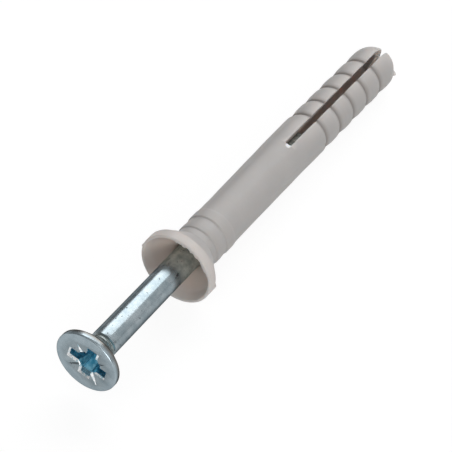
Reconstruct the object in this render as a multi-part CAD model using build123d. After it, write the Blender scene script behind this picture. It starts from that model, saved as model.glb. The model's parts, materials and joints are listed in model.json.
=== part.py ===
"""Hammer fixing plug: a slotted nylon sleeve with a cupped collar, and the steel hammer screw that starts in it.

Millimetres, +Z up. Each piece is first drawn on its own axis: X runs from the collar's front face, at x = 0,
towards the closed tip. The pair is then laid down on the collar's rim and the last barb, as it lies on a table.
"""
from build123d import *
from math import asin, cos, degrees, hypot, radians, sin, tan
import os

# Hammer screw, one piece of steel
HEAD_D = 8.4
HEAD_RIM = 0.80            # height of the head's round rim
HEAD_ANGLE = 100.0         # included angle of the cone under the rim
HEAD_EDGE = 0.18           # rounding of the rim's front edge
HEAD_BACK_EDGE = 0.25      # rounding between rim and cone
NECK_D = 2.94              # waist between cone and shank
NECK_LENGTH = 0.30
SHOULDER_LENGTH = 0.16     # slope from the waist up to the shank
SHOULDER_ROUND = 0.10
SHANK_D = 3.40
SCREW_LENGTH = 47.5        # head face to point
POINT_LENGTH = 1.30
POINT_FLAT_D = 0.80        # blunt end of the point
START_OUT = 18.5           # how far the head stands out of the collar before it is driven

# Cross recess with four ticks between its wings
RECESS_SPAN = 5.0          # across two wings at the face
RECESS_FLOOR_SPAN = 2.5
RECESS_DEPTH = 2.4
WING_WIDTH = 1.25
RIB_SPAN = 3.2             # the small second cross at 45 degrees, which cuts the corners between the wings
RIB_FLOOR_SPAN = 1.9
RIB_DEPTH = 2.1
RIB_WIDTH = 1.1
CORE_D = 2.5               # round middle of the recess
CORE_FLOOR_D = 1.7
CORE_TIP = 0.45            # cone below the recess floor
TICK_OUT = 2.95            # radius where a tick ends
TICK_WIDTH = 0.34
TICK_DEPTH = 0.26
RECESS_TURN = 15.0         # turn of the recess about the axis, from upright
RECESS_SHIFT = 0.30        # the recess was struck this far off the head's centre, away from +Y

# Sleeve, one nylon moulding
SLEEVE_LENGTH = 48.4
COLLAR_D = 9.9
LIP_LENGTH = 1.26          # straight rim of the collar
LIP_EDGE = 0.12
LIP_BACK_EDGE = 0.20
COLLAR_CONE_END = 3.70
COLLAR_FOOT_D = 5.88
MOUTH_EDGE = 0.10
RING_GROOVES = (4.72, 6.86)
RING_CREST_D = (5.95, 6.05)
RING_LEAD = 0.50           # gentle side of a ring's groove, towards the collar
RING_END = 8.30
TUBE_FROM = 9.10
TUBE_D = 5.84
TUBE_TO = 11.0             # the tube swells slightly from here to the first barb
SWELL_D = 6.12
BARB_COUNT = 5             # barb grooves
FIRST_BARB = 30.05
BARB_PITCH = 3.24
BARB_D = 6.00
BARB_LEAD = 1.10           # gentle side of a barb's groove
GROOVE_DEPTH = 0.30
GROOVE_STEP = 0.14         # steep side of every groove
GROOVE_ROUND = 0.08
NOSE_LENGTH = 3.30         # half an egg in front of the last barb
SLOT_FROM = 23.95
SLOT_WIDTH = 0.87
SLOT_END_ROUND = 0.15
SLOT_TURN = 15.6           # turn of the slot about the axis, from upright
BORE_END_WALL = 0.75       # nylon left in front of the bore at the tip

# Flash left by the mould on its parting line, square to the slot
FLASH_WIDTH = 0.40
FLASH_HEIGHT = 0.16
FLASH_SINK = 0.30          # how deep each tag is rooted in the moulding
SPUR_LENGTH = 0.45
TAB_LENGTH = 0.90
TAB_HEIGHT = 0.38
TAB_ANGLE = 51.0           # place of the tip's tab, from the axis

# Clearances
RUNNING = 0.08             # radial, shank in bore
SEAT = 0.05                # head in the collar's cup, and point at the end of the bore

# Sizes that follow
HEAD_R = HEAD_D / 2
NECK_R = NECK_D / 2
SHANK_R = SHANK_D / 2
HALF_ANGLE = radians(HEAD_ANGLE / 2)
CONE_LENGTH = (HEAD_R - NECK_R) / tan(HALF_ANGLE)
BORE_R = SHANK_R + RUNNING
MOUTH_R = HEAD_R + SEAT
CUP_DEPTH = HEAD_RIM + SEAT
CUP_CONE = (MOUTH_R - BORE_R) / tan(HALF_ANGLE)
COLLAR_R = COLLAR_D / 2
TIP_R = BARB_D / 2
NOSE_AT = SLEEVE_LENGTH - NOSE_LENGTH
BORE_END = SLEEVE_LENGTH - BORE_END_WALL
POINT_SLOPE = (SHANK_R - POINT_FLAT_D / 2) / POINT_LENGTH
HEAD_FACE = -START_OUT


def profile(points):
    """Flat outline above the X axis, closed along that axis."""
    return make_face(Polyline(*points, close=True))


def rounded(face, corners, radius):
    """The same outline with the corners at the given points rounded."""
    points = [Vector(*corner) for corner in corners]
    picked = [min(face.vertices(), key=lambda vertex: (Vector(vertex) - point).length) for point in points]
    return fillet(picked, radius)


def turned(face):
    return revolve(face, Axis.X, 360)


def about_axis(shape, degrees_from_upright):
    """Turn about the X axis; a positive turn takes the top towards -Y."""
    return Rot(degrees_from_upright, 0, 0) * shape


def blade(span, floor_span, width, depth):
    """Upright blade that narrows as it goes in from the head's face."""
    outline = Polyline(
        (HEAD_FACE, -span / 2),
        (HEAD_FACE + depth, -floor_span / 2),
        (HEAD_FACE + depth, floor_span / 2),
        (HEAD_FACE, span / 2),
        close=True,
    )
    return extrude(Plane.XZ * make_face(outline), width / 2, both=True)


def recess():
    cutter = turned(profile([
        (HEAD_FACE, 0),
        (HEAD_FACE, CORE_D / 2),
        (HEAD_FACE + RECESS_DEPTH, CORE_FLOOR_D / 2),
        (HEAD_FACE + RECESS_DEPTH + CORE_TIP, 0),
    ]))
    for quarter in (0, 90):
        cutter += about_axis(blade(RECESS_SPAN, RECESS_FLOOR_SPAN, WING_WIDTH, RECESS_DEPTH), quarter)
        cutter += about_axis(blade(RIB_SPAN, RIB_FLOOR_SPAN, RIB_WIDTH, RIB_DEPTH), quarter + 45)
    return about_axis(cutter, RECESS_TURN)


def ticks():
    """Four shallow V marks between the wings of the recess."""
    mark = Polyline(
        (HEAD_FACE, -TICK_WIDTH / 2),
        (HEAD_FACE + TICK_DEPTH, 0),
        (HEAD_FACE, TICK_WIDTH / 2),
        close=True,
    )
    bar = extrude(make_face(mark), TICK_OUT, both=True)
    cutter = about_axis(bar, 45) + about_axis(bar, 135)
    return about_axis(cutter, RECESS_TURN)


def hammer_screw():
    cone_end = HEAD_FACE + HEAD_RIM + CONE_LENGTH
    shank_from = cone_end + NECK_LENGTH + SHOULDER_LENGTH
    point = HEAD_FACE + SCREW_LENGTH
    front_edge = (HEAD_FACE, HEAD_R)
    back_edge = (HEAD_FACE + HEAD_RIM, HEAD_R)
    shoulder = (shank_from, SHANK_R)
    outline = profile([
        (HEAD_FACE, 0),
        front_edge,
        back_edge,
        (cone_end, NECK_R),
        (cone_end + NECK_LENGTH, NECK_R),
        shoulder,
        (point - POINT_LENGTH, SHANK_R),
        (point, POINT_FLAT_D / 2),
        (point, 0),
    ])
    outline = rounded(outline, [front_edge], HEAD_EDGE)
    outline = rounded(outline, [back_edge], HEAD_BACK_EDGE)
    outline = rounded(outline, [(cone_end, NECK_R), shoulder], SHOULDER_ROUND)
    off_centre = Pos(0, -RECESS_SHIFT, 0)
    return turned(outline) - off_centre * recess() - off_centre * ticks()


def groove(at, before_r, after_r, lead):
    """Saw-tooth groove: a gentle way down from the collar's side, then a steep step up."""
    return [
        (at - lead, before_r),
        (at, min(before_r, after_r) - GROOVE_DEPTH),
        (at + GROOVE_STEP, after_r),
    ]


def sleeve_outside():
    """Outside of the sleeve as one turned outline, with an egg-shaped nose."""
    foot_r = COLLAR_FOOT_D / 2
    crest = [size / 2 for size in RING_CREST_D]
    lip_front = (0, COLLAR_R)
    lip_back = (LIP_LENGTH, COLLAR_R)
    points = [(0, 0), lip_front, lip_back, (COLLAR_CONE_END, foot_r)]
    teeth = []
    for at, before, after in zip(RING_GROOVES, (foot_r, crest[0]), crest):
        teeth += groove(at, before, after, RING_LEAD)
    teeth += [(RING_END, crest[-1]), (TUBE_FROM, TUBE_D / 2), (TUBE_TO, TUBE_D / 2)]
    before = SWELL_D / 2
    for index in range(BARB_COUNT):
        teeth += groove(FIRST_BARB + index * BARB_PITCH, before, TIP_R, BARB_LEAD)
        before = TIP_R
    points += teeth
    side = Polyline(*points, (NOSE_AT, TIP_R))
    nose = EllipticalCenterArc((NOSE_AT, 0), NOSE_LENGTH, TIP_R, arc_size=90)
    outline = make_face(side + nose + Line((SLEEVE_LENGTH, 0), (0, 0)))
    outline = rounded(outline, [lip_front], LIP_EDGE)
    outline = rounded(outline, [lip_back], LIP_BACK_EDGE)
    outline = rounded(outline, teeth, GROOVE_ROUND)
    return turned(outline)


def sleeve_inside():
    """Cup for the head, and the bore that guides the shank up to the tip."""
    taper = (BORE_R - POINT_FLAT_D / 2 - SEAT) / POINT_SLOPE
    mouth = (0, MOUTH_R)
    return turned(profile([
        (-MOUTH_EDGE, 0),
        (-MOUTH_EDGE, MOUTH_R + 2 * MOUTH_EDGE),
        (MOUTH_EDGE, MOUTH_R),
        (CUP_DEPTH, MOUTH_R),
        (CUP_DEPTH + CUP_CONE, BORE_R),
        (BORE_END - taper, BORE_R),
        (BORE_END, POINT_FLAT_D / 2 + SEAT),
        (BORE_END, 0),
    ]))


def slot():
    """One saw cut across the whole sleeve, from the slot's near end out through the tip."""
    length = SLEEVE_LENGTH - SLOT_FROM + COLLAR_R
    cut = Pos(SLOT_FROM + length / 2, 0, 0) * Box(length, SLOT_WIDTH, COLLAR_D)
    near_end = cut.edges().filter_by(Axis.Z).group_by(Axis.X)[0]
    return about_axis(fillet(near_end, SLOT_END_ROUND), SLOT_TURN)


def flash():
    """Tags of flash on the mould's parting line: two on the collar's rim and one on the tip."""
    def tag(length, height, width):
        return Box(length, width, height + FLASH_SINK, align=(Align.CENTER, Align.CENTER, Align.MIN))

    root_r = COLLAR_R - FLASH_SINK
    ridge_length = LIP_LENGTH - LIP_EDGE - LIP_BACK_EDGE
    spur = Pos(SPUR_LENGTH / 2, 0, root_r) * tag(SPUR_LENGTH, FLASH_HEIGHT, FLASH_WIDTH)
    ridge = Pos(LIP_LENGTH / 2, 0, root_r) * tag(ridge_length, FLASH_HEIGHT, FLASH_WIDTH)
    nose_r = 1 / hypot(cos(radians(TAB_ANGLE)) / NOSE_LENGTH, sin(radians(TAB_ANGLE)) / TIP_R)
    tab = Pos(0, 0, nose_r - FLASH_SINK) * tag(TAB_LENGTH, TAB_HEIGHT, FLASH_WIDTH)
    tab = Pos(NOSE_AT, 0, 0) * Rot(0, 90 - TAB_ANGLE, 0) * tab
    far_side = [about_axis(piece, SLOT_TURN + 90) for piece in (ridge, tab)]
    return [about_axis(spur, SLOT_TURN - 90), *far_side]


def plug_sleeve():
    body = sleeve_outside()
    for tag in flash():
        body += tag
    return body - sleeve_inside() - slot()


def laid_down(pieces):
    """Tip the pair onto the collar's rim and the last barb, and centre it over the origin."""
    drop = COLLAR_R - TIP_R
    run = NOSE_AT - LIP_LENGTH
    tilt = degrees(asin(drop / hypot(run, drop)))
    tipped = [Rot(0, tilt, 0) * piece for piece in pieces]
    boxes = [piece.bounding_box() for piece in tipped]
    low = [min(getattr(box.min, side) for box in boxes) for side in "XYZ"]
    high = [max(getattr(box.max, side) for box in boxes) for side in "XYZ"]
    middle = Vector((low[0] + high[0]) / 2, (low[1] + high[1]) / 2, low[2])
    return [Pos(*(-middle)) * piece for piece in tipped], tilt, middle


os.makedirs("parts", exist_ok=True)
placed, tilt, middle = laid_down([plug_sleeve(), hammer_screw()])
for name, piece in zip(["plug_sleeve", "hammer_screw"], placed):
    export_step(piece, f"parts/{name}.step")
print("tilt", round(tilt, 4), "origin on the sleeve's own axes", [round(value, 4) for value in middle])
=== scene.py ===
import json
from math import acos, asin, atan2, cos, degrees, hypot, pi, radians, sin, sqrt, tan

import bmesh
import bpy
import numpy as np
from mathutils import Matrix, Vector


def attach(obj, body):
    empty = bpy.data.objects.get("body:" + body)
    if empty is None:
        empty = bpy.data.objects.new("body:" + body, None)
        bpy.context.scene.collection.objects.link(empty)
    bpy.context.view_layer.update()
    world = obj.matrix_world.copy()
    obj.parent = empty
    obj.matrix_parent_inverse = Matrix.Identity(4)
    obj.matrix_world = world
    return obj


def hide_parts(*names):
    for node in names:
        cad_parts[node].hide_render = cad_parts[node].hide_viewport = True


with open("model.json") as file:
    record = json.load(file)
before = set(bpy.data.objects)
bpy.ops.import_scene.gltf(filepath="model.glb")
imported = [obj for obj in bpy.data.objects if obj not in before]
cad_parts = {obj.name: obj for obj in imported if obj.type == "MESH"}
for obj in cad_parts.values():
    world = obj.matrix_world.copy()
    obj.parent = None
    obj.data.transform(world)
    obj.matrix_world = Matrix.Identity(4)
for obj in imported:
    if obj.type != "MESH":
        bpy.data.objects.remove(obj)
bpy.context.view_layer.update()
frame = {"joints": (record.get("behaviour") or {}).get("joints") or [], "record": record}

MM = 0.001

# Hammer screw, in millimetres and degrees; places are on the pieces' own axis, from the collar's front face
HEAD_R = 4.2
HEAD_RIM = 0.80
HEAD_ANGLE = 100.0
HEAD_EDGE = 0.32
HEAD_BACK_EDGE = 0.25
HEAD_FLAT_R = 3.78         # where the outline starts on the head's flat face
NECK_R = 1.47
NECK_LENGTH = 0.34
NECK_ROUND = 0.30
NECK_END_ROUND = 0.05
SHOULDER_LENGTH = 0.12
SHOULDER_ROUND = 0.04
SHANK_R = 1.70
SHANK_BACK_R = 1.755       # beside the head
SCREW_LENGTH = 47.5
POINT_LENGTH = 1.30
POINT_FLAT_R = 0.40
POINT_LEAST_R = 0.32       # in the thread's root
THREAD_FROM = 8.0          # from here to the point the shank carries its barbed thread
THREAD_RUN_IN = 1.5        # over which it grows to its full depth
THREAD_PITCH = 0.70
THREAD_ROOT_R = 1.54
THREAD_STEEP = 0.20        # share of the pitch taken by the steep flank, which faces the head
THREAD_RISE = 1.12         # over 1, so that the crests are a little flat

# Recess in the head, clockwise as seen from in front of it
RECESS_DEPTH = 2.4
RECESS_SHIFT = 0.30        # it was struck this far off the head's centre, away from +Y
RECESS_TURN = 15.0
RECESS_LAND = 0.75         # depth where a wing's end wall starts to slope
RECESS_LAND_SHARE = 0.93   # of its reach that a wing has left at that depth
RECESS_FLOOR_REACH = 1.15
WINGS = (                  # reach; rolled edges left, right and at the end; reach of the rib on its left
    (2.45, (0.08, 0.32, 0.10), 1.60),     # upper
    (2.40, (0.08, 0.16, 0.12), 1.65),     # right
    (2.15, (0.12, 0.28, 0.27), 1.30),     # lower
    (2.60, (0.38, 0.10, 0.20), 1.35),     # left
)
WING_WIDTH = 1.25
LAND_WIDTH_SHARE = 0.98
FLOOR_WIDTH_SHARE = 0.90
FLARE_DEPTH = 0.16         # of the rolled edges where the recess meets the head's face
RIB_FLOOR_REACH = 0.95
RIB_DEPTH = 2.1
RIB_WIDTH = 1.1
RIB_FLARE = 0.11
CORE_R = 1.25
CORE_FLOOR_R = 0.85
CORE_TIP = 0.45
CORE_TIP_R = 0.02
TICKS = (                  # turn from the upper wing, start, reach, width, whether it carries the painted highlight
    (-45.0, 1.45, 2.80, 0.46, True),
    (50.0, 1.55, 2.55, 0.30, False),
    (144.0, 1.20, 3.10, 0.56, True),
    (227.0, 1.45, 3.10, 0.34, False),
)
TICK_DEPTH = 0.20
TICK_SHAPE = ((0.0, 1.0), (0.5, 0.7), (1.0, 0.10))     # share of the length, share of width and depth there
CUTTER_ABOVE = 0.3         # the cutters stand out of the head's face by this much
CUTTER_PAST = 0.2          # and run past the recess's middle by this much

# Where the screw's materials and tones lie; among the tones are painted light, reflection and shade
ZINC, BLUE, PAINTED_HIGHLIGHT = range(3)              # order in which main gives the screw its materials; the third is the painted highlight
FACE_SKIN = 0.003          # what is deeper below the head's face than this belongs to the recess
RECESS_LIMIT = 3.2         # nothing of the recess is further out than this
RIM_KEPT = 0.6             # nor nearer to the head's rim than this
CONE_KEPT = 0.7            # and this much further from it for each millimetre of depth
PAINTED_SHADE_WALL_FROM = 1.80      # from the recess's middle, in the lower wing, where the end wall takes plain zinc as painted shade
PAINTED_SHADE_WALL_TURN = 30.0
TICK_FINISH_FROM = 0.15    # past a tick's start
FRONT_FROM = 0.30          # below the head's face, where the front's painted lighter tone starts to fade
RIM_PAINTED_DARK = (0.22, 0.40)    # below the head's face, where the rim's painted dark reflection starts
RIM_PAINTED_DARK_END = (0.05, 0.30)                # behind the rim, where it ends
# the cone and neck take part of the duller finish, with a painted reflection in its colour
CONE_DULL = 0.5
CONE_DULL_RUN = 0.5
CONE_DULL_END = 0.05
SHANK_DULL = (-2.3, -0.2)  # where the shank turns dull, with a painted reflection of the collar in its colour, just outside the collar
# painted shade on the thread, where it is seen in the slot
THREAD_PAINTED_SHADE = 0.5
THREAD_PAINTED_SHADE_RUN = 2.0

# Sleeve
SLEEVE_LENGTH = 48.4
COLLAR_R = 4.95
LIP_LENGTH = 1.26
LIP_EDGE = 0.20
LIP_BACK_EDGE = 0.35
COLLAR_CONE_END = 3.70
COLLAR_FOOT_R = 2.94
SLOPE_ROUND = 0.3          # where a slope starts
GROOVE_ROUND = 0.04        # at the bottom of a groove
MOUTH_R = 4.25
MOUTH_LAND = 0.37          # from there out to where the cup meets the collar's front face
MOUTH_ROUND = 0.12
CUP_DEPTH = 0.85
CUP_CURVE = (              # corners of the cup's wall: past CUP_DEPTH, outside MOUTH_R, rounding
    (0.20, -0.15, 1.0),
    (-0.35, 0.13, 0.8),
)
BORE_R = 1.78
BORE_FROM = 2.92
BORE_MOUTH_ROUND = 0.4
BORE_TO = 46.44            # the bore narrows from here to its end
BORE_END = 47.65
BORE_END_R = 0.45
BORE_LEAST = 0.02          # a bore wider than the slot by less than this is left out
RING_GROOVES = (4.72, 6.86)
RING_CREST_R = (2.975, 3.025)
RING_LEAD = 1.40
RING_GAP = 0.3             # least distance from one ring's crest to the next one's slope
RING_DEPTH = 0.10
RING_STEP = 0.18
RING_ROUND = 0.05
RING_END = 8.30
RING_END_ROUND = 0.06
RING_FALL = 0.35           # length of the slope from the last ring down to the tube
TUBE_R = 2.92
TUBE_TAPER = 0.02
TUBE_START_ROUND = 0.2
TUBE_TO = 11.0
TUBE_ROUND = 2.0
SWELL_R = 3.06
BARB_COUNT = 5
FIRST_BARB = 30.05
BARB_PITCH = 3.24
BARB_R = 3.0
BARB_LEAD = 0.75           # from where the outline starts to fall to the groove's bottom
BARB_LEAD_DROP = 0.02
BARB_LEAD_ROUND = 1.2
BARB_SLOPE = 0.25
BARB_SLOPE_DROP = 0.15
BARB_SLOPE_ROUND = 0.5
GROOVE_DEPTH = 0.30
GROOVE_STEP = 0.22
BARB_DROP = 0.13           # a barb starts this much lower than its crest
BARB_START_ROUND = 0.25
BARB_RISE = 1.3
BARB_CREST_ROUND = 2.5
NOSE_LENGTH = 3.30
SLOT_FROM = 23.95
SLOT_HALF = 0.435
SLOT_END_ROUND = 0.15
SLOT_EDGE = 0.06           # rounding along the slot's edges
SLOT_TURN = 15.6
SLOT_WALL_END = 0.14       # the slot's walls stop this far from the pieces' own axis

# Marks of the mould on the sleeve
MOULD_OFFSET = 0.30        # the mould's lower half sits this much nearer to the tip
MOULD_OFFSET_FROM = (0.4, 1.2)
MOULD_OFFSET_END = 0.3     # it has faded out this far before the tip
SEAM_EASE = 0.7            # degrees on each side of the seam
FLASH_SINK = 0.30
FLASH_WIDTH = 0.40
FLASH_HEIGHT = 0.12
FLASH_FLAT = 0.5           # share of its width that has its full height
FLASH_OUTSIDE = 0.40       # it starts this far outside MOUTH_R
FLASH_PAST_LIP = 0.9
FLASH_FADE = 0.3
SPUR_LENGTH = 0.45
TAB_LENGTH = 0.90
TAB_ANGLE = 51.0
TAB_THICKNESS = 0.32
TAB_ROWS = (               # height above the nose, share of the full size, front end in half lengths
    (-FLASH_SINK, 1.0, 1.0),
    (0.12, 1.0, 0.9),
    (0.38, 0.7, -0.1),
)
BEND = 0.0165              # the slotted end leans to the side by this much for each millimetre
BEND_FROM = 24.5
BEND_EASE = 3.0
BURR = 0.34                # greatest height of the collar's torn mouth edge
BURR_FROM = -27.0          # degrees from the slot, where it starts
BURR_TO = 63.0
BURR_STEP = 3.0
BURR_FADE = 12.0
BURR_AT = (0.1, 0.3)       # past the front face, outside MOUTH_R
BURR_REACH = (0.2, 0.5)
SEED = 139
RIPPLE = 0.008             # unevenness of the tube and barbs
RIPPLE_ALONG = 1.3         # radians for each millimetre
RIPPLE_AROUND = 3
RIPPLE_FROM = (8.0, 12.0)

# Tones of the nylon, most of them painted light and shade; a pair is where one starts and where it is full
LIP_PAINTED_LIGHT = (0.9, 1.6)      # along the sleeve, where the painted light on the collar's lip ends
BORE_SHADE = (0.1, 1.9)    # along the sleeve, painted shade in the bore
WALL_SHADE = (0.1, 1.1)    # painted shade on the slot's walls, from the outside
WALL_SKIN = (0.2, 1.0)     # on the slot's walls, where what shifts the outside fades
TIP_LIGHT = (45.0, 46.8)   # along the sleeve, where the slot's painted shade ends
# painted light on the slot's walls near the tip
TIP_PAINTED_LIGHT = (45.2, 46.8)
TIP_PAINTED_LIGHTNESS = 0.9
TAB_PALENESS = 0.6
GROOVE_SHADE = (0.05, 0.50)                # before and after a groove's bottom, where its painted shade ends
GLINT_BEFORE = 0.22         # from the slot's near end to the middle of the painted glint
GLINT_RIGHT = 0.15
GLINT_R = 0.40
GLINT_FULL_R = 0.24
HALO_LENGTH = 1.625        # reach of the pale tone round the slot's near end
HALO_TURN = 24.7           # the same across the slot, in degrees
# painted highlight beside the slot
EDGE_PAINTED_HIGHLIGHT = 0.4
EDGE_HIGHLIGHT_RUN = 4.0        # over which the painted highlight beside the slot grows
EDGE_HIGHLIGHT_TURN = (radians(6), radians(58))

# How finely the meshes are divided
ROW = 0.45
SCREW_ROW = 0.6
THREAD_ROW = 0.05
POINT_ROWS = 24
SCREW_COLUMNS = 72
CORE_COLUMNS = 40
LEG_COLUMNS = 80
SEAM_COLUMNS = 6           # extra ones on each side of the mould's seam
SEAM_STEP = 0.003          # their distance, in shares of a leg's width
BRIDGE = 6                 # parts of the slot's width
CORNER_POINTS = 3
WALL_POINTS = 5
NOSE_ROWS = 26
NOSE_END = 2.4             # slot edges left at each side of the last nose row
ROWS_BEFORE_SLOT = (0.75, 0.65, 0.55, 0.45, 0.35, 0.25, 0.15, SLOT_EDGE)
COARSE_ROWS_TO = 0.85      # before the slot
SLOT_START_SHARES = (0, 0.12, 0.35, 0.65, 1.0)         # rows in the rounding of the slot's near end
ARC_STEP = 15.0            # degrees between two points of a rounding
ARC_SHARE = 0.45           # of a side that the rounding of a corner may take
LEAST_ARC = 1e-6
LEAST_ROW = 0.01
SLEEVE_SHARP = 32.0        # edges that turn by more degrees than this stay sharp
SCREW_SHARP = 30.0

# Colours, most as ramps through a noise
NYLON_GREY = ((0.3, (0.478, 0.462, 0.452)), (0.7, (0.510, 0.490, 0.478)))
# paler nylon: painted light on the collar's lip, beside the slot and near the tip; also round the slot's end
# and on the tab
NYLON_PALE_AND_PAINTED_LIGHT = (0.69, 0.65, 0.625)
# painted shade in the barb grooves
NYLON_GROOVE_PAINTED_SHADE = (0.34, 0.315, 0.30)
# warm tone of the painted shade inside the bore and the slot
NYLON_INSIDE_PAINTED_SHADE = (0.66, 0.56, 0.50)
# painted glint: a near-white mark before the slot's near end
NYLON_PAINTED_GLINT = (0.95, 0.96, 0.96)
ZINC_PLAIN = ((0.35, (0.26, 0.32, 0.35)), (0.65, (0.40, 0.46, 0.49)))
# painted lighter tone on the head's front
ZINC_FRONT_PAINTED_LIGHT = ((0.35, (0.36, 0.44, 0.485)), (0.65, (0.46, 0.545, 0.59)))
# duller zinc, with a painted reflection in its colour
ZINC_DULL_PAINTED_REFLECTION = ((0.38, (0.30, 0.338, 0.315)), (0.62, (0.55, 0.578, 0.532)))
# painted shade and painted dark reflection on the rim and the thread
ZINC_PAINTED_SHADE = (0.17, 0.165, 0.155)
ZINC_BLUE = ((0.35, (0.11, 0.35, 0.47)), (0.65, (0.42, 0.72, 0.83)))
# painted highlight: near-white metal on rolled edges and ticks
ZINC_PAINTED_HIGHLIGHT = ((0.35, (0.42, 0.62, 0.70)), (0.50, (0.95, 0.97, 0.98)))
PIT_PLACES = ((0.68, (0, 0, 0)), (0.75, (0.8, 0.8, 0.8)))
PIT_COLOUR = (0.06, 0.07, 0.08)
BLACK = (0, 0, 0)
DULL_ROUGHNESS = (0.42, 0.42, 0.42)

# Camera, fitted to the outlines in the photograph
HEADING = 32.94
ELEVATION = 45.59
LENS = 199.12
SENSOR = 36.0
DISTANCE = 298.15
RIGHT_OF_COLLAR = 6.04
ABOVE_COLLAR = 5.18

# Light; lamps are soft boxes in metres, at degrees from +X towards +Y and above the ground
LAMP_DISTANCE = 0.60
LAMPS = (                  # name, azimuth, elevation, size, radiance
    ("key", 14, 41, (0.66, 0.44), 2.6),
    ("side_fill", -38, 26, (0.50, 0.56), 0.57),
    ("front_fill", -128, 46, (0.62, 0.56), 0.82),
    ("rim_strip", -136, 15, (0.48, 0.20), 3.4),
    ("left_glint", 156, 42, (0.30, 0.26), 0.5),
)
WORLD_LIGHT = 0.15
WORLD_SEEN = (("Is Glossy Ray", 0.25), ("Is Transmission Ray", 1.0), ("Is Camera Ray", 1.0))
FLOOR_HALF = 1.5
FLOOR_ALBEDO = 0.60
FLOOR_SEEN = (             # kind of ray, albedo, glow
    ("Is Glossy Ray", 0.50, 0.45),
    ("Is Transmission Ray", 0.15, 0.90),
    ("Is Camera Ray", 0.15, 0.90),
)

JOINT = frame["joints"][0]
START_OUT = JOINT["range_m"][1] / MM
HEAD_FACE = -START_OUT
RIM_END = HEAD_FACE + HEAD_RIM
CONE_END = RIM_END + (HEAD_R - NECK_R) / tan(radians(HEAD_ANGLE / 2))
NECK_END = CONE_END + NECK_LENGTH
SHANK_START = NECK_END + SHOULDER_LENGTH
NOSE_AT = SLEEVE_LENGTH - NOSE_LENGTH


def own_axes():
    """Matrix that takes the pieces' own axes, in metres, to the frame."""
    along = Vector(JOINT["axis"]).normalized()
    side = Vector((0, 1, 0))
    up = along.cross(side)
    recess = next(m for m in frame["record"]["mounts"] if m["name"] == "driver_recess")
    start = Vector(recess["pos_m"]) + (along * START_OUT + side * RECESS_SHIFT) * MM
    return Matrix.Translation(start) @ Matrix((along, side, up)).transposed().to_4x4()


OWN = own_axes()


def smooth(value, low, high):
    """0 below low, 1 above high, and an even bend between."""
    share = min(1.0, max(0.0, (value - low) / (high - low)))
    return share * share * (3 - 2 * share)


def arc_corner(before, corner, after, radius):
    """Points that round a corner of an outline; a short side limits the radius."""
    a = Vector(before) - Vector(corner)
    b = Vector(after) - Vector(corner)
    turn = pi - a.angle(b)
    reach = min(radius * tan(turn / 2), ARC_SHARE * a.length, ARC_SHARE * b.length)
    if reach < LEAST_ARC:
        return [tuple(corner)]
    start = Vector(corner) + a.normalized() * reach
    end = Vector(corner) + b.normalized() * reach
    centre_way = (a.normalized() + b.normalized()).normalized()
    real_radius = reach / tan(turn / 2)
    centre = Vector(corner) + centre_way * hypot(reach, real_radius)
    count = max(2, round(degrees(turn) / ARC_STEP))
    from_way = (start - centre).normalized()
    to_way = (end - centre).normalized()
    ways = [from_way.slerp(to_way, index / count) for index in range(count + 1)]
    return [tuple(centre + way * real_radius) for way in ways]


def rounded_path(corners, longest):
    """Outline through (along, radius, rounding) corners, with long straight stretches divided."""
    points = [corners[0][:2]]
    for before, corner, after in zip(corners, corners[1:], corners[2:]):
        points += arc_corner(before[:2], corner[:2], after[:2], corner[2])
    points.append(corners[-1][:2])
    divided = [points[0]]
    for start, end in zip(points, points[1:]):
        parts = max(1, round(hypot(end[0] - start[0], end[1] - start[1]) / longest))
        for index in range(1, parts + 1):
            share = index / parts
            divided.append((start[0] + (end[0] - start[0]) * share, start[1] + (end[1] - start[1]) * share))
    return divided


def new_piece(name, vertices, faces, values):
    """Mesh object in the frame, from millimetre points on the own axes and their named values."""
    mesh = bpy.data.meshes.new(name)
    mesh.from_pydata([OWN @ (Vector(point) * MM) for point in vertices], [], faces)
    for label, numbers in values.items():
        layer = mesh.attributes.new(label, "FLOAT", "POINT")
        layer.data.foreach_set("value", np.array(numbers, np.float32))
    piece = bpy.data.objects.new(name, mesh)
    bpy.context.scene.collection.objects.link(piece)
    return piece


def finish_mesh(piece, sharp_angle):
    """Faces outwards and smooth, apart from edges that turn by more than the angle."""
    work = bmesh.new()
    work.from_mesh(piece.data)
    bmesh.ops.recalc_face_normals(work, faces=work.faces)
    work.to_mesh(piece.data)
    work.free()
    piece.data.polygons.foreach_set("use_smooth", [True] * len(piece.data.polygons))
    piece.data.set_sharp_from_angle(angle=radians(sharp_angle))


# Sleeve

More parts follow.
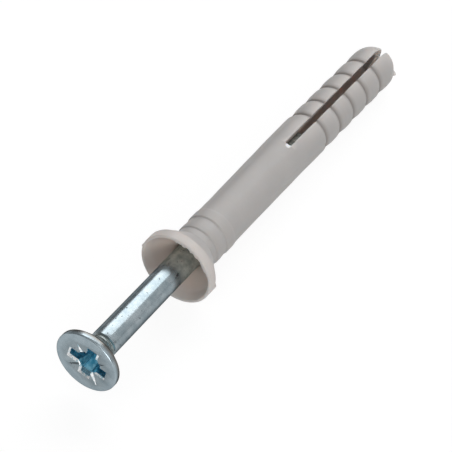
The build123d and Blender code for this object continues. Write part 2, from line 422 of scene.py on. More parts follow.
def sleeve_outline():
    """Outside of the sleeve from the collar's lip to the nose, as (along, radius, rounding) corners."""
    corners = [
        (0, COLLAR_R, LIP_EDGE),
        (LIP_LENGTH, COLLAR_R, LIP_BACK_EDGE),
        (COLLAR_CONE_END, COLLAR_FOOT_R, SLOPE_ROUND),
    ]
    for at, crest in zip(RING_GROOVES, RING_CREST_R):
        last, r, rounding = corners[-1]
        corners += [
            (max(at - RING_LEAD, last + RING_GAP), r, SLOPE_ROUND),
            (at, r - RING_DEPTH, GROOVE_ROUND),
            (at + RING_STEP, crest, RING_ROUND),
        ]
    corners += [
        (RING_END, RING_CREST_R[1], RING_END_ROUND),
        (RING_END + RING_FALL, TUBE_R + TUBE_TAPER, TUBE_START_ROUND),
        (TUBE_TO, TUBE_R, TUBE_ROUND),
    ]
    for index in range(BARB_COUNT):
        at = FIRST_BARB + index * BARB_PITCH
        before = BARB_R if index else SWELL_R
        corners += [
            (at - BARB_LEAD, before - BARB_LEAD_DROP, BARB_LEAD_ROUND),
            (at - BARB_SLOPE, BARB_R - BARB_SLOPE_DROP, BARB_SLOPE_ROUND),
            (at, BARB_R - GROOVE_DEPTH, GROOVE_ROUND),
            (at + GROOVE_STEP, BARB_R - BARB_DROP, BARB_START_ROUND),
            (at + BARB_RISE, BARB_R, BARB_CREST_ROUND),
        ]
    corners.append((NOSE_AT, BARB_R, 0))
    return corners


def sleeve_paths():
    """Outline from the bore at the slot round the collar to the slot, and the outside as far as the nose."""
    inside = [(SLOT_FROM, BORE_R, 0), (BORE_FROM, BORE_R, BORE_MOUTH_ROUND)]
    inside += [(CUP_DEPTH + deeper, MOUTH_R + wider, rounding) for deeper, wider, rounding in CUP_CURVE]
    inside.append((0, MOUTH_R + MOUTH_LAND, MOUTH_ROUND))
    whole = rounded_path(inside + sleeve_outline(), ROW)
    front = min(point[0] for point in whole)
    turn = next(index for index, point in enumerate(whole) if point[0] == front)
    coarse_to = SLOT_FROM - COARSE_ROWS_TO
    around = [point for index, point in enumerate(whole) if index < turn or point[0] < coarse_to]
    return around, turn, whole[turn:]


def skin_radius(skin):
    along = [point[0] for point in skin]
    radii = [point[1] for point in skin]
    return lambda u: float(np.interp(u, along, radii))


def burr_table():
    """Height of the torn mouth edge against the angle from the slot."""
    draw = np.random.default_rng(SEED)
    knots = np.arange(BURR_FROM, BURR_TO, BURR_STEP)
    fade = np.minimum(1, np.minimum(knots - BURR_FROM, BURR_TO - knots) / BURR_FADE)
    heights = BURR * draw.uniform(0.0, 1.0, len(knots)) * fade
    return lambda turn: float(np.interp(turn, knots, heights, left=0.0, right=0.0))


def flash(u, r, turn):
    """Height of the mould's seam on the collar: a ridge right along the lip below, a short spur above."""
    end = LIP_LENGTH + FLASH_PAST_LIP if turn > 0 else SPUR_LENGTH
    away = radians(abs(abs(turn) - 90)) * r / (FLASH_WIDTH / 2)
    return FLASH_HEIGHT * (1 - smooth(away, FLASH_FLAT, 1.0)) * (1 - smooth(u, end - FLASH_FADE, end))


def ripple(u, turn):
    """Slight unevenness of the outside behind the rings."""
    return RIPPLE * sin(RIPPLE_ALONG * u + RIPPLE_AROUND * turn) * smooth(u, *RIPPLE_FROM)


def groove_shade(u):
    """How much of a barb groove's painted shade a place has, full at the groove's bottom."""
    nearest = min(abs(u - FIRST_BARB - index * BARB_PITCH) for index in range(BARB_COUNT))
    return 1 - smooth(nearest, *GROOVE_SHADE)


def end_spot(u, across, up):
    """Painted glint: a white mark on the upper side, just before the slot's near end, as in the photograph.
    """
    if up < 0:
        return 0.0
    return 1 - smooth(hypot(u - SLOT_FROM + GLINT_BEFORE, across - GLINT_RIGHT), GLINT_FULL_R, GLINT_R)


def halo(u, turn):
    """Paler nylon round the slot's near end, as in the photograph; the turn is from the slot's middle."""
    return max(0.0, 1 - hypot((u - SLOT_FROM) / HALO_LENGTH, degrees(turn) / HALO_TURN))


def pale_edge(u, turn):
    """Painted highlight: paler nylon beside the slot on the outside of a leg, as in the photograph."""
    along = smooth(u, SLOT_FROM, SLOT_FROM + EDGE_HIGHLIGHT_RUN)
    return EDGE_PAINTED_HIGHLIGHT * along * (1 - smooth(min(turn, pi - turn), *EDGE_HIGHLIGHT_TURN))


class SleeveMesh:
    """Grid round the sleeve. Each leg has its own columns, and short bridges close the slot's width."""

    def __init__(self):
        self.points = []
        self.faces = []
        # painted shade inside and in the grooves, paler nylon that is partly painted light, and a painted
        # glint
        self.values = {"inside": [], "pale": [], "groove": [], "spot": []}
        self.burr = burr_table()
        even = np.linspace(0, 1, LEG_COLUMNS + 1)
        near = SEAM_STEP * np.arange(1, SEAM_COLUMNS + 1)
        self.shares = np.sort(np.concatenate([even, 0.5 - near, 0.5 + near]))

    def point(self, place, **values):
        self.points.append(place)
        for label, numbers in self.values.items():
            numbers.append(values[label])
        return len(self.points) - 1

    def add(self, u, across, up, skin, inside=0.0, pale=0.0):
        """Point with its tones, moved by the mould's offset and the bend where it is on the outside.

        Across and up are measured from the slot's own plane; skin is 1 on the outside and 0 in the bore."""
        lower_half = smooth(abs(degrees(atan2(across, up))), 90 - SEAM_EASE, 90 + SEAM_EASE)
        shift = smooth(u, *MOULD_OFFSET_FROM) * (1 - smooth(u, NOSE_AT, SLEEVE_LENGTH - MOULD_OFFSET_END))
        u += MOULD_OFFSET * lower_half * skin * shift
        slot = radians(SLOT_TURN)
        y = -sin(slot) * up - cos(slot) * across
        z = cos(slot) * up - sin(slot) * across
        y -= BEND * max(0.0, u - BEND_FROM) * smooth(u, BEND_FROM, BEND_FROM + BEND_EASE) * skin
        # painted shade in the barb grooves and the painted glint before the slot
        groove = skin * groove_shade(u - MOULD_OFFSET * lower_half)
        spot = skin * end_spot(u, across, up)
        return self.point((u, y, z), inside=inside, pale=pale, groove=groove, spot=spot)

    def quads(self, low, high, closed=False):
        """Faces between two rows of points."""
        count = len(low)
        for index in range(count if closed else count - 1):
            after = (index + 1) % count
            self.faces.append((low[index], low[after], high[after], high[index]))

    def tab(self):
        """Thin flash that stands out of the lower leg's nose, on the mould's seam."""
        steep = radians(TAB_ANGLE)
        nose_r = 1 / hypot(cos(steep) / NOSE_LENGTH, sin(steep) / BARB_R)
        out = Vector((cos(steep), sin(steep)))
        along = Vector((-sin(steep), cos(steep)))
        rows = []
        for height, grow, front in TAB_ROWS:
            row = []
            for side, way in ((1, front), (1, -grow), (-1, -grow), (-1, front)):
                place = out * (nose_r + height) + along * (-way * TAB_LENGTH / 2)
                thick = side * grow * TAB_THICKNESS / 2
                row.append(self.add(NOSE_AT + place.x, place.y, thick, 1.0, 0.0, TAB_PALENESS))
            if rows:
                self.quads(rows[-1], row, closed=True)
            rows.append(row)
        self.faces.append(tuple(rows[0]))
        self.faces.append(tuple(rows[-1]))

    def ring(self, u, r, half_angle, skin, inside, pale):
        """One full row: right leg, lower bridge, left leg, upper bridge."""
        legs = half_angle + self.shares * (pi - 2 * half_angle)
        bridge = np.linspace(-half_angle, half_angle, BRIDGE + 1)[1:-1]
        torn = 1 - smooth(hypot(u - BURR_AT[0], r - MOUTH_R - BURR_AT[1]), *BURR_REACH)
        row = []
        for turn in np.concatenate([legs, bridge + pi, legs + pi, bridge]):
            way = (degrees(turn) + 180) % 360 - 180
            radius = r - self.burr(way) * torn
            if skin and r > MOUTH_R + FLASH_OUTSIDE:
                radius += flash(u, r, way)
            if skin:
                radius += ripple(u, turn)
            row.append(self.add(u, radius * sin(turn), radius * cos(turn), skin, inside, pale))
        return row

    def parts(self, row):
        """Right leg, lower bridge, left leg and upper bridge of a full row."""
        columns = len(self.shares)
        left_from = columns + BRIDGE - 1
        left_to = left_from + columns
        return row[:columns], row[columns:left_from], row[left_from:left_to], row[left_to:]

    def tube(self, around, turn):
        """Full rows from the bore at the slot round the collar's mouth to the slot. Gives both end rows."""
        half = slot_half(SLOT_FROM)
        rows = []
        for index, (u, r) in enumerate(around):
            # painted light on the collar's lip
            pale = 1 - smooth(u, *LIP_PAINTED_LIGHT)
            if index >= turn - 1:
                rows.append(self.ring(u, r, edge_angle(r, half), 1.0, 0.0, pale))
            else:
                # painted shade in the bore
                rows.append(self.ring(u, r, asin(half / r), 0.0, smooth(u, *BORE_SHADE), pale))
        for low, high in zip(rows, rows[1:]):
            self.quads(low, high, closed=True)
        return rows[0], rows[-1]

    def leg_outside(self, sign, u, r, half):
        first = edge_angle(r, half)
        row = []
        for turn in first + self.shares * (pi - 2 * first):
            radius = r + ripple(u, turn if sign > 0 else turn + pi)
            pale = max(halo(u, turn if sign > 0 else pi - turn), pale_edge(u, turn))
            row.append(self.add(u, sign * radius * sin(turn), sign * radius * cos(turn), 1.0, 0.0, pale))
        return row

    def leg_loop(self, sign, u, r, start=None):
        """Outside, far wall, bore and near wall of a loop round a leg; start is the first one's two rows."""
        half = slot_half(u)
        bore = bore_radius(u)
        side = slot_side(r, bore, half)
        # painted shade in the slot, giving way near the tip to painted light on the slot's walls
        painted_shade = 1 - smooth(u, *TIP_LIGHT)
        pale = TIP_PAINTED_LIGHTNESS * smooth(u, *TIP_PAINTED_LIGHT)
        places = [u] * len(side)
        if start:
            shares = [min(1.0, (step + 1) / CORNER_POINTS) for step in range(len(side))]
            places = [SLOT_FROM - SLOT_EDGE * (1 - sin(pi / 2 * share)) for share in shares]

        def wall(upwards):
            row = []
            for place, (across, up) in zip(places, side):
                deep = r - hypot(across, up)
                skin = 1 - smooth(deep, *WALL_SKIN)
                shade = painted_shade * smooth(deep, *WALL_SHADE)
                row.append(self.add(place, sign * across, upwards * sign * up, skin, shade, pale))
            return row

        outside = start[0] if start else self.leg_outside(sign, u, r, half)
        far_wall = wall(-1)
        if start:
            inside = start[1]
        else:
            arc = bore_arc(self.shares, bore, half)
            inside = [self.add(u, sign * across, sign * up, 0.0, painted_shade) for across, up in arc]
        return outside, far_wall, inside, wall(1)

    def leg(self, sign, stations, start):
        """A leg from the tube's last row to the nose. Gives the near and far wall of its first loop."""
        loops = []
        for index, (u, r) in enumerate(stations):
            outside, far_wall, inside, near_wall = self.leg_loop(sign, u, r, None if index else start)
            if not loops:
                first_walls = near_wall, far_wall
            loops.append([*outside, *far_wall, *reversed(inside), *reversed(near_wall)])
        for low, high in zip(loops, loops[1:]):
            self.quads(low, high, closed=True)
        self.faces.append(tuple(loops[-1]))
        return first_walls

    def close_slot(self, left_wall, right_wall, outer_row, inner_row):
        """End wall of the slot, between two legs' first loops."""
        levels = [outer_row]
        for left, right in zip(left_wall, right_wall):
            level = [left]
            for step in range(1, BRIDGE):
                share = step / BRIDGE
                ends = zip(self.points[left], self.points[right])
                middle = tuple(a * (1 - share) + b * share for a, b in ends)
                inside = self.values["inside"][left]
                pale = self.values["pale"][left]
                level.append(self.point(middle, inside=inside, pale=pale, groove=0.0, spot=0.0))
            levels.append(level + [right])
        levels.append(inner_row)
        for low, high in zip(levels, levels[1:]):
            self.quads(low, high)


def slot_half(u):
    """Half the slot's width, with the corners of its near end rounded."""
    run = min(SLOT_END_ROUND, max(0.0, u - SLOT_FROM))
    return SLOT_HALF - SLOT_END_ROUND + sqrt(SLOT_END_ROUND ** 2 - (SLOT_END_ROUND - run) ** 2)


def edge_angle(r, half):
    """Where a leg's outside ends beside the slot, left for the rounding of the slot's edge."""
    return asin((half + SLOT_EDGE) / (r - SLOT_EDGE))


def slot_side(r, bore, half):
    """One side of the slot from outside to bore, as (across, up) points without its two ends."""
    centre = sqrt((r - SLOT_EDGE) ** 2 - (half + SLOT_EDGE) ** 2)
    first = atan2(centre, half + SLOT_EDGE)
    points = []
    for index in range(1, CORNER_POINTS + 1):
        way = first + (pi - first) * index / CORNER_POINTS
        points.append((half + SLOT_EDGE + SLOT_EDGE * cos(way), centre + SLOT_EDGE * sin(way)))
    low = max(SLOT_WALL_END, sqrt(max(bore ** 2 - half ** 2, 0.0)))
    for index in range(1, WALL_POINTS):
        points.append((half, centre + (low - centre) * index / WALL_POINTS))
    return points


def bore_radius(u):
    if u < BORE_TO:
        return BORE_R
    return max(0.0, BORE_R + (BORE_END_R - BORE_R) * (u - BORE_TO) / (BORE_END - BORE_TO))


def bore_arc(shares, bore, half):
    """Wall of the bore in one leg, or the same points on the slot's wall where there is no bore."""
    if bore > half + BORE_LEAST:
        first = asin(half / bore)
        turns = first + shares * (pi - 2 * first)
        return [(bore * sin(turn), bore * cos(turn)) for turn in turns]
    return [(half, SLOT_WALL_END * cos(pi * share)) for share in shares]


def leg_stations(skin, radius_at):
    """(along, radius) places of a leg's loops, from the slot's rounded end over the barbs and the nose."""
    along = [SLOT_FROM + SLOT_END_ROUND * share for share in SLOT_START_SHARES]
    along += [u for u, r in skin if SLOT_FROM + 2 * SLOT_END_ROUND < u < NOSE_AT - LEAST_ROW]
    last_turn = acos((SLOT_HALF + NOSE_END * SLOT_EDGE) / BARB_R)
    nose = [last_turn * index / NOSE_ROWS for index in range(NOSE_ROWS + 1)]
    stations = [(u, radius_at(u)) for u in along]
    return stations + [(NOSE_AT + NOSE_LENGTH * sin(way), BARB_R * cos(way)) for way in nose]


def build_sleeve():
    grid = SleeveMesh()
    around, turn, skin = sleeve_paths()
    radius_at = skin_radius(skin)
    around += [(SLOT_FROM - before, radius_at(SLOT_FROM - before)) for before in ROWS_BEFORE_SLOT]
    inner_row, outer_row = grid.tube(around, turn)
    outer_right, outer_lower, outer_left, outer_upper = grid.parts(outer_row)
    inner_right, inner_lower, inner_left, inner_upper = grid.parts(inner_row)
    stations = leg_stations(skin, radius_at)
    right_near, right_far = grid.leg(1, stations, (outer_right, inner_right))
    left_near, left_far = grid.leg(-1, stations, (outer_left, inner_left))
    grid.tab()
    grid.close_slot(left_far, right_near, [outer_left[-1], *outer_upper, outer_right[0]],
                    [inner_left[-1], *inner_upper, inner_right[0]])
    grid.close_slot(right_far, left_near, [outer_right[-1], *outer_lower, outer_left[0]],
                    [inner_right[-1], *inner_lower, inner_left[0]])
    return new_piece("nylon_sleeve", grid.points, grid.faces, grid.values)


# Screw

def thread_radius(u, turn):
    """Barbed thread: a steep flank towards the head, a long one towards the point."""
    share = (u / THREAD_PITCH - turn / (2 * pi)) % 1.0
    rise = share / THREAD_STEEP if share < THREAD_STEEP else (1 - share) / (1 - THREAD_STEEP)
    root = SHANK_R + (THREAD_ROOT_R - SHANK_R) * smooth(u, THREAD_FROM, THREAD_FROM + THREAD_RUN_IN)
    return root + (SHANK_R - root) * min(1.0, THREAD_RISE * rise)


def screw_tones(u):
    """How much a place along the screw has of the duller finish with its painted reflection, of the front's
    painted lighter tone, and of painted shade.
    """
    cone_starts = smooth(u, RIM_END, RIM_END + CONE_DULL_RUN)
    cone_ends = smooth(u, SHANK_START - CONE_DULL_END, SHANK_START)
    dull_with_painted_reflection = CONE_DULL * cone_starts * (1 - cone_ends) + smooth(u, *SHANK_DULL)
    front = 1 - smooth(u, HEAD_FACE + FRONT_FROM, RIM_END)
    rim = smooth(u - HEAD_FACE, *RIM_PAINTED_DARK) * (1 - smooth(u - RIM_END, *RIM_PAINTED_DARK_END))
    thread = THREAD_PAINTED_SHADE * smooth(u, THREAD_FROM - THREAD_PAINTED_SHADE_RUN, THREAD_FROM)
    return dull_with_painted_reflection, front, rim + thread


def build_screw():
    corners = [
        (HEAD_FACE, HEAD_FLAT_R, 0),
        (HEAD_FACE, HEAD_R, HEAD_EDGE),
        (RIM_END, HEAD_R, HEAD_BACK_EDGE),
        (CONE_END, NECK_R, NECK_ROUND),
        (NECK_END, NECK_R, NECK_END_ROUND),
        (SHANK_START, SHANK_BACK_R, SHOULDER_ROUND),
        (THREAD_FROM, SHANK_R, 0),
    ]
    rows = [[(u, r)] * SCREW_COLUMNS for u, r in rounded_path(corners, SCREW_ROW)]
    turns = [2 * pi * index / SCREW_COLUMNS for index in range(SCREW_COLUMNS)]
    thread_end = HEAD_FACE + SCREW_LENGTH - POINT_LENGTH
    count = round((thread_end - THREAD_FROM) / THREAD_ROW)
    for index in range(1, count + 1):
        u = THREAD_FROM + (thread_end - THREAD_FROM) * index / count
        rows.append([(u, thread_radius(u, turn)) for turn in turns])
    for index in range(1, POINT_ROWS + 1):
        u = thread_end + POINT_LENGTH * index / POINT_ROWS
        taper = (POINT_FLAT_R - SHANK_R) * index / POINT_ROWS
        rows.append([(u, max(POINT_LEAST_R, thread_radius(u, turn) + taper)) for turn in turns])
    points = [(u, -r * sin(turn), r * cos(turn)) for row in rows for (u, r), turn in zip(row, turns)]
    faces = []
    for low in range(0, len(points) - SCREW_COLUMNS, SCREW_COLUMNS):
        high = low + SCREW_COLUMNS
        for index in range(SCREW_COLUMNS):
            after = (index + 1) % SCREW_COLUMNS
            faces.append((low + index, low + after, high + after, high + index))
    faces.append(tuple(range(SCREW_COLUMNS)))
    faces.append(tuple(range(len(points) - SCREW_COLUMNS, len(points))))
    dull_with_painted_reflection, front, painted_shade = zip(*[screw_tones(u) for u, y, z in points])
    piece = new_piece("steel_screw", points, faces, {"dull_with_painted_reflection": dull_with_painted_reflection, "front": front, "painted_shade": painted_shade})
    finish_mesh(piece, SCREW_SHARP)
    return piece


def loft(levels):
    """Closed cutter through loops with the same number of points."""
    count = len(levels[0])
    points = [point for level in levels for point in level]
    faces = [tuple(range(count))]
    for low in range(0, len(points) - count, count):
        for index in range(count):
            after = (index + 1) % count
            faces.append((low + index, low + count + index, low + count + after, low + after))
    faces.append(tuple(reversed(range(len(points) - count, len(points)))))
    return points, faces


def on_face(depth, along, across, turn):
    """Point at a depth below the head's face, along and across a line from the recess's middle.

    The line's turn is from upright, clockwise as seen from in front of the head."""
    way = radians(turn)
    y = -along * sin(way) - across * cos(way)
    z = along * cos(way) - across * sin(way)
    return HEAD_FACE + depth, y - RECESS_SHIFT, z


def slab(turn, levels):
    """Cutter from the recess's middle outwards, through (depth, reach, left, right) levels."""
    loops = []
    for depth, reach, left, right in levels:
        corners = ((-CUTTER_PAST, -left), (reach, -left), (reach, right), (-CUTTER_PAST, right))
        loops.append([on_face(depth, along, across, turn) for along, across in corners])
    return loft(loops)


def wing(turn, reach, flares):
    half = WING_WIDTH / 2
    left, right, end = flares
    grown = 1 + CUTTER_ABOVE / FLARE_DEPTH
    return slab(turn, [
        (-CUTTER_ABOVE, reach + end * grown, half + left * grown, half + right * grown),
        (0.0, reach + end, half + left, half + right),
        (FLARE_DEPTH, reach, half, half),
        (RECESS_LAND, reach * RECESS_LAND_SHARE, half * LAND_WIDTH_SHARE, half * LAND_WIDTH_SHARE),
        (RECESS_DEPTH, RECESS_FLOOR_REACH, half * FLOOR_WIDTH_SHARE, half * FLOOR_WIDTH_SHARE),
    ])


def rib(turn, reach):
    """Cut corner between two wings."""
    half = RIB_WIDTH / 2
    return slab(turn, [
        (-CUTTER_ABOVE, reach + RIB_FLARE + CUTTER_ABOVE, half, half),
        (0.0, reach + RIB_FLARE, half, half),
        (FLARE_DEPTH, reach, half, half),
        (RIB_DEPTH, RIB_FLOOR_REACH, half * FLOOR_WIDTH_SHARE, half * FLOOR_WIDTH_SHARE),
    ])


def core():
    """Round middle of the recess, with a cone at its floor."""
    turns = [2 * pi * index / CORE_COLUMNS for index in range(CORE_COLUMNS)]
    rings = (
        (-CUTTER_ABOVE, CORE_R),
        (0.0, CORE_R),
        (RECESS_DEPTH, CORE_FLOOR_R),
        (RECESS_DEPTH + CORE_TIP, CORE_TIP_R),
    )
    loops = [[on_face(depth, r * cos(turn), r * sin(turn), 0.0) for turn in turns] for depth, r in rings]
    return loft(loops)


def tick(turn, start, reach, width):
    """V-shaped wedge in the face, wide and deep beside the recess and pointed outwards."""
    levels = []
    for along_share, size in TICK_SHAPE:
        along = start + (reach - start) * along_share
        deep = TICK_DEPTH * size
        spread = width / 2 * size * (deep + CUTTER_ABOVE) / deep
        corners = ((-CUTTER_ABOVE, -spread), (deep, 0.0), (-CUTTER_ABOVE, spread))
        levels.append([on_face(depth, along, across, RECESS_TURN + turn) for depth, across in corners])
    return loft(levels)


def in_recess(depth, away):
    """Whether a place is in the recess, by its depth below the face and its distance from the middle."""
    widest = min(RECESS_LIMIT, HEAD_R - RIM_KEPT - CONE_KEPT * depth)
    return FACE_SKIN <= depth <= RECESS_DEPTH + CORE_TIP and away <= widest


def finishes(screw):
    """Material of each face in the recess: the painted highlight on rolled edges and some ticks, blue below
    them, and plain zinc as painted shade on the lower wing's end wall.
    """
    back = OWN.inverted()
    for face in screw.data.polygons:
        centre = back @ face.center / MM
        depth = centre.x - HEAD_FACE
        y = centre.y + RECESS_SHIFT
        away = hypot(y, centre.z)
        if not in_recess(depth, away):
            continue
        turn = degrees(atan2(-y, centre.z)) - RECESS_TURN
        # painted highlight on the rolled edges
        face.material_index = PAINTED_HIGHLIGHT if depth < FLARE_DEPTH else BLUE
        # plain zinc on the lower wing's end wall as painted shade
        if depth > FLARE_DEPTH and away > PAINTED_SHADE_WALL_FROM and abs(abs(turn) - 180) < PAINTED_SHADE_WALL_TURN:
            face.material_index = ZINC
        for tick_turn, start, reach, width, has_painted_highlight in TICKS:
            off = radians((turn - tick_turn + 180) % 360 - 180)
            if abs(off) * away < width / 2 and away > start + TICK_FINISH_FROM:
                face.material_index = PAINTED_HIGHLIGHT if has_painted_highlight else ZINC


def cut_recess(screw):
    cutters = [core()]
    for quarter, (reach, flares, rib_reach) in enumerate(WINGS):
        turn = RECESS_TURN + 90 * quarter
        cutters += [wing(turn, reach, flares), rib(turn - 45, rib_reach), tick(*TICKS[quarter][:4])]
    for points, faces in cutters:
        cutter = new_piece("cutter", points, faces, {})
        finish_mesh(cutter, SCREW_SHARP)
        cut = screw.modifiers.new("cut", "BOOLEAN")
        cut.object = cutter
        cut.operation = "DIFFERENCE"
        cut.solver = "MANIFOLD"
        graph = bpy.context.evaluated_depsgraph_get()
        made = bpy.data.meshes.new_from_object(screw.evaluated_get(graph))
        screw.modifiers.clear()
        screw.data = made
        bpy.data.objects.remove(cutter)


# Materials

def material(name):
    made = bpy.data.materials.new(name)
    made.use_nodes = True
    return made, made.node_tree.nodes, made.node_tree.links


def noise(nodes, links, scale, detail, roughness=0.5, stretch=None):
    """Noise in the piece's own axes; scale is in features per metre."""
    source = nodes.new("ShaderNodeTexCoord").outputs["Object"]
    if stretch:
        mapping = nodes.new("ShaderNodeMapping")
        mapping.inputs["Scale"].default_value = stretch
        links.new(source, mapping.inputs["Vector"])
        source = mapping.outputs["Vector"]
    made = nodes.new("ShaderNodeTexNoise")
    made.inputs["Scale"].default_value = scale
    made.inputs["Detail"].default_value = detail
    made.inputs["Roughness"].default_value = roughness
    links.new(source, made.inputs["Vector"])
    return made.outputs["Fac"]


def ramp(nodes, links, source, stops):
    """Colour ramp through two (place, colour) stops."""
    made = nodes.new("ShaderNodeValToRGB")
    for element, (place, colour) in zip(made.color_ramp.elements, stops):
        element.position = place
        element.color = (*colour, 1)
    links.new(source, made.inputs["Fac"])
    return made.outputs["Color"]


def mix(nodes, links, factor, first, second):
    """Blend from the first to the second, each an output or a plain colour."""
    made = nodes.new("ShaderNodeMix")
    made.data_type = "RGBA"
    links.new(factor, made.inputs[0])
    for socket, value in ((made.inputs[6], first), (made.inputs[7], second)):
        if isinstance(value, bpy.types.NodeSocket):
            links.new(value, socket)
        else:
            socket.default_value = (*value, 1)
    return made.outputs[2]


def stretch_values(nodes, links, source, low, high):
    """The source's 0 to 1 as low to high."""
    made = nodes.new("ShaderNodeMapRange")
    made.inputs["To Min"].default_value = low
    made.inputs["To Max"].default_value = high
    links.new(source, made.inputs["Value"])
    return made.outputs["Result"]


def attribute(nodes, name):
    made = nodes.new("ShaderNodeAttribute")
    made.attribute_name = name
    return made.outputs["Fac"]


def bump(nodes, links, source, strength, distance, under=None):
    made = nodes.new("ShaderNodeBump")
    made.inputs["Strength"].default_value = strength
    made.inputs["Distance"].default_value = distance
    links.new(source, made.inputs["Height"])
    if under is not None:
        links.new(under, made.inputs["Normal"])
    return made.outputs["Normal"]


def nylon_material():
    """Light grey satin nylon, a little translucent, with painted light and shade among its tones, laid on by
    place.
    """
    made, nodes, links = material("grey_nylon")
    shader = nodes["Principled BSDF"]
    colour = ramp(nodes, links, noise(nodes, links, scale=260, detail=3), NYLON_GREY)
    # The tones: paler nylon that is partly painted light, painted shade in the barb grooves and inside the
    # sleeve, and a painted glint.
    tones = (("pale", NYLON_PALE_AND_PAINTED_LIGHT), ("groove", NYLON_GROOVE_PAINTED_SHADE), ("inside", NYLON_INSIDE_PAINTED_SHADE), ("spot", NYLON_PAINTED_GLINT))
    for label, tone in tones:
        colour = mix(nodes, links, attribute(nodes, label), colour, tone)
    links.new(colour, shader.inputs["Base Color"])
    grain = noise(nodes, links, scale=4200, detail=2)
    links.new(stretch_values(nodes, links, grain, low=0.40, high=0.52), shader.inputs["Roughness"])
    wide = noise(nodes, links, scale=700, detail=2)
    normal = bump(nodes, links, wide, strength=0.25, distance=0.04 * MM)
    normal = bump(nodes, links, grain, strength=0.25, distance=0.01 * MM, under=normal)
    links.new(normal, shader.inputs["Normal"])
    shader.inputs["Subsurface Weight"].default_value = 0.5
    shader.inputs["Subsurface Radius"].default_value = (1.0, 0.75, 0.6)
    shader.inputs["Subsurface Scale"].default_value = 1.1 * MM
    shader.inputs["IOR"].default_value = 1.5
    return made


def recess_material():
    """Blotched blue zinc inside the recess."""
    made, nodes, links = material("blue_zinc")
    shader = nodes["Principled BSDF"]
    blotches = noise(nodes, links, scale=1500, detail=3)
    grain = noise(nodes, links, scale=3000, detail=3)
    links.new(ramp(nodes, links, blotches, ZINC_BLUE), shader.inputs["Base Color"])
    shader.inputs["Metallic"].default_value = 1.0
    links.new(stretch_values(nodes, links, grain, low=0.25, high=0.45), shader.inputs["Roughness"])
    links.new(bump(nodes, links, blotches, strength=0.4, distance=0.03 * MM), shader.inputs["Normal"])
    return made


def painted_highlight_material():
    """Painted highlight: near-white metal on the recess's rolled edges and on two of its ticks."""
    made, nodes, links = material("zinc_painted_highlight")
    shader = nodes["Principled BSDF"]
    blotches = noise(nodes, links, scale=2600, detail=3)
    links.new(ramp(nodes, links, blotches, ZINC_PAINTED_HIGHLIGHT), shader.inputs["Base Color"])
    shader.inputs["Metallic"].default_value = 1.0
    links.new(stretch_values(nodes, links, blotches, low=0.30, high=0.45), shader.inputs["Roughness"])
    links.new(bump(nodes, links, blotches, strength=0.8, distance=0.06 * MM), shader.inputs["Normal"])
    return made


def zinc_material():
    """Mottled bluish zinc with scratches and pits, with painted light, reflection and shade among its tones,
    laid on by place.
    """
    made, nodes, links = material("zinc_plated_steel")
    shader = nodes["Principled BSDF"]
    dull_with_painted_reflection = attribute(nodes, "dull_with_painted_reflection")
    front = attribute(nodes, "front")
    mottle = noise(nodes, links, scale=700, detail=5, roughness=0.6)
    colour = ramp(nodes, links, mottle, ZINC_PLAIN)
    # Painted lighter tone on the front, painted reflection in the duller parts, painted shade on the rim and
    # the thread.
    colour = mix(nodes, links, front, colour, ramp(nodes, links, mottle, ZINC_FRONT_PAINTED_LIGHT))
    colour = mix(nodes, links, dull_with_painted_reflection, colour, ramp(nodes, links, mottle, ZINC_DULL_PAINTED_REFLECTION))
    colour = mix(nodes, links, attribute(nodes, "painted_shade"), colour, ZINC_PAINTED_SHADE)
    pits = ramp(nodes, links, noise(nodes, links, scale=2500, detail=2, roughness=0.4), PIT_PLACES)
    pits = mix(nodes, links, front, pits, BLACK)
    links.new(mix(nodes, links, pits, colour, PIT_COLOUR), shader.inputs["Base Color"])
    shader.inputs["Specular Tint"].default_value = (0.2, 0.2, 0.2, 1)
    links.new(stretch_values(nodes, links, dull_with_painted_reflection, low=0.92, high=0.60), shader.inputs["Metallic"])
    bright_roughness = stretch_values(nodes, links, mottle, low=0.14, high=0.32)
    links.new(mix(nodes, links, dull_with_painted_reflection, bright_roughness, DULL_ROUGHNESS), shader.inputs["Roughness"])
    scratches = noise(nodes, links, scale=2400, detail=3, stretch=(0.12, 1.0, 1.0))
    normal = bump(nodes, links, mottle, strength=0.22, distance=0.02 * MM)
    normal = bump(nodes, links, scratches, strength=0.12, distance=0.01 * MM, under=normal)
    normal = bump(nodes, links, pits, strength=0.6, distance=0.02 * MM, under=normal)
    links.new(normal, shader.inputs["Normal"])
    return made


def by_ray(nodes, links, usual, seen):
    """Shader that gives way to others for some kinds of ray, from (kind, shader) pairs."""
    path = nodes.new("ShaderNodeLightPath")
    result = usual
    for ray, shader in seen:
        choice = nodes.new("ShaderNodeMixShader")
        links.new(path.outputs[ray], choice.inputs["Fac"])
        links.new(result, choice.inputs[1])
        links.new(shader, choice.inputs[2])
        result = choice.outputs[0]
    return result


def floor_material():
    """White ground: matt for the light it gives back, and partly glowing where it is seen or mirrored."""
    made, nodes, links = material("white_ground")
    nodes.remove(nodes["Principled BSDF"])

    def ground(albedo, glow=0.0):
        matt = nodes.new("ShaderNodeBsdfDiffuse")
        matt.inputs["Color"].default_value = (albedo, albedo, albedo, 1)
        if not glow:
            return matt.outputs[0]
        shine = nodes.new("ShaderNodeEmission")
        shine.inputs["Strength"].default_value = glow
        both = nodes.new("ShaderNodeAddShader")
        links.new(matt.outputs[0], both.inputs[0])
        links.new(shine.outputs[0], both.inputs[1])
        return both.outputs[0]

    usual = ground(FLOOR_ALBEDO)
    seen = [(ray, ground(albedo, glow)) for ray, albedo, glow in FLOOR_SEEN]
    result = by_ray(nodes, links, usual, seen)
    links.new(result, nodes["Material Output"].inputs["Surface"])
    return made


# Stage

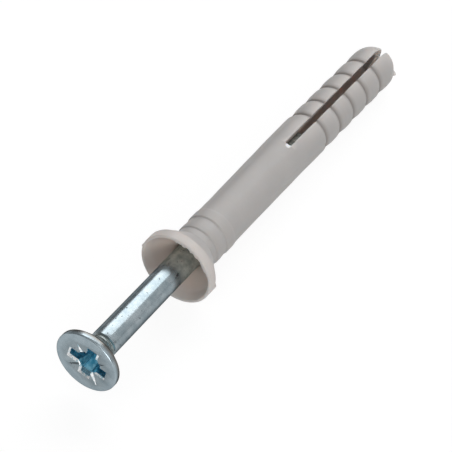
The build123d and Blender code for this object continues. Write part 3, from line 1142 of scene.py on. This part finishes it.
def build_floor():
    corners = [(-FLOOR_HALF, -FLOOR_HALF, 0), (FLOOR_HALF, -FLOOR_HALF, 0),
               (FLOOR_HALF, FLOOR_HALF, 0), (-FLOOR_HALF, FLOOR_HALF, 0)]
    mesh = bpy.data.meshes.new("ground")
    mesh.from_pydata(corners, [], [(0, 1, 2, 3)])
    mesh.materials.append(floor_material())
    floor = bpy.data.objects.new("ground", mesh)
    bpy.context.scene.collection.objects.link(floor)


def lamp(name, azimuth, elevation, size, radiance):
    """Soft box that faces the object."""
    data = bpy.data.lights.new(name, "AREA")
    data.shape = "RECTANGLE"
    data.size, data.size_y = size
    data.energy = radiance * pi * size[0] * size[1]
    made = bpy.data.objects.new(name, data)
    bpy.context.scene.collection.objects.link(made)
    level = cos(radians(elevation))
    way = Vector((level * cos(radians(azimuth)), level * sin(radians(azimuth)), sin(radians(elevation))))
    made.location = way * LAMP_DISTANCE
    made.rotation_euler = way.to_track_quat("Z", "Y").to_euler()


def build_world():
    """Dim even light. The camera sees it as white, and metal mirrors it as grey."""
    world = bpy.data.worlds.new("studio")
    bpy.context.scene.world = world
    world.use_nodes = True
    nodes = world.node_tree.nodes
    links = world.node_tree.links

    def white(made, strength):
        made.inputs["Color"].default_value = (1, 1, 1, 1)
        made.inputs["Strength"].default_value = strength
        return made.outputs[0]

    usual = white(nodes["Background"], WORLD_LIGHT)
    seen = [(ray, white(nodes.new("ShaderNodeBackground"), strength)) for ray, strength in WORLD_SEEN]
    result = by_ray(nodes, links, usual, seen)
    links.new(result, nodes["World Output"].inputs["Surface"])


def build_camera():
    """Camera at the photograph's place, aimed beside the collar's front centre."""
    heading = radians(HEADING)
    elevation = radians(ELEVATION)
    forward = Vector((cos(elevation) * cos(heading), cos(elevation) * sin(heading), -sin(elevation)))
    right = Vector((sin(heading), -cos(heading), 0))
    up = right.cross(forward)
    aim = OWN.translation + (right * RIGHT_OF_COLLAR + up * ABOVE_COLLAR) * MM
    data = bpy.data.cameras.new("camera")
    data.lens = LENS
    data.sensor_width = SENSOR
    data.clip_start = 10 * MM
    camera = bpy.data.objects.new("camera", data)
    bpy.context.scene.collection.objects.link(camera)
    turn = Matrix((right, up, -forward)).transposed().to_4x4()
    camera.matrix_world = Matrix.Translation(aim - forward * DISTANCE * MM) @ turn
    bpy.context.scene.camera = camera


def main():
    build_camera()
    for values in LAMPS:
        lamp(*values)
    build_world()
    build_floor()
    sleeve = build_sleeve()
    finish_mesh(sleeve, SLEEVE_SHARP)
    sleeve.data.materials.append(nylon_material())
    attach(sleeve, "sleeve")
    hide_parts("plug_sleeve")
    screw = build_screw()
    cut_recess(screw)
    finish_mesh(screw, SCREW_SHARP)
    screw.data.materials.clear()
    for made in (zinc_material(), recess_material(), painted_highlight_material()):
        screw.data.materials.append(made)
    finishes(screw)
    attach(screw, "screw")
    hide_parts("hammer_screw")
    bpy.context.scene.view_settings.view_transform = "Standard"


main()
